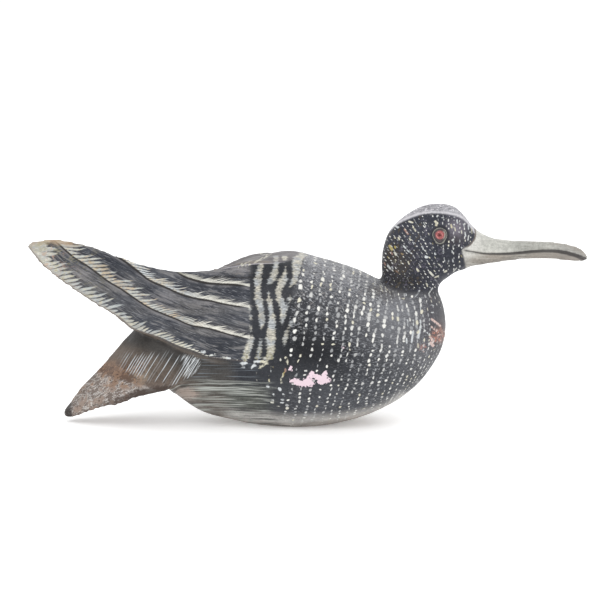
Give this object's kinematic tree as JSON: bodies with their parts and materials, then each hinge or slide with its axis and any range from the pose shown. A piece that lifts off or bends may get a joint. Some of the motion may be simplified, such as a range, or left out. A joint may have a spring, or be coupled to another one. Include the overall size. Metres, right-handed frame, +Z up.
{
  "type": "loon decoy",
  "caption": "Carved and painted wooden loon decoy with a long bill, folded wings swept up at the tip and a drooping tail.",
  "frame": {"origin": "on the ground, below the middle of the bird's box", "axes": "+X towards the tip of the bill, +Y towards the bird's left side, +Z up"},
  "size_m": [0.457, 0.126, 0.18],
  "materials": {
    "painted_wood": "dark grey-black satin paint with cream dabs and bars, worn to the wood at the tail"
  },
  "bodies": {
    "root": {"carved_loon": "painted_wood"}
  },
  "joints": []
}
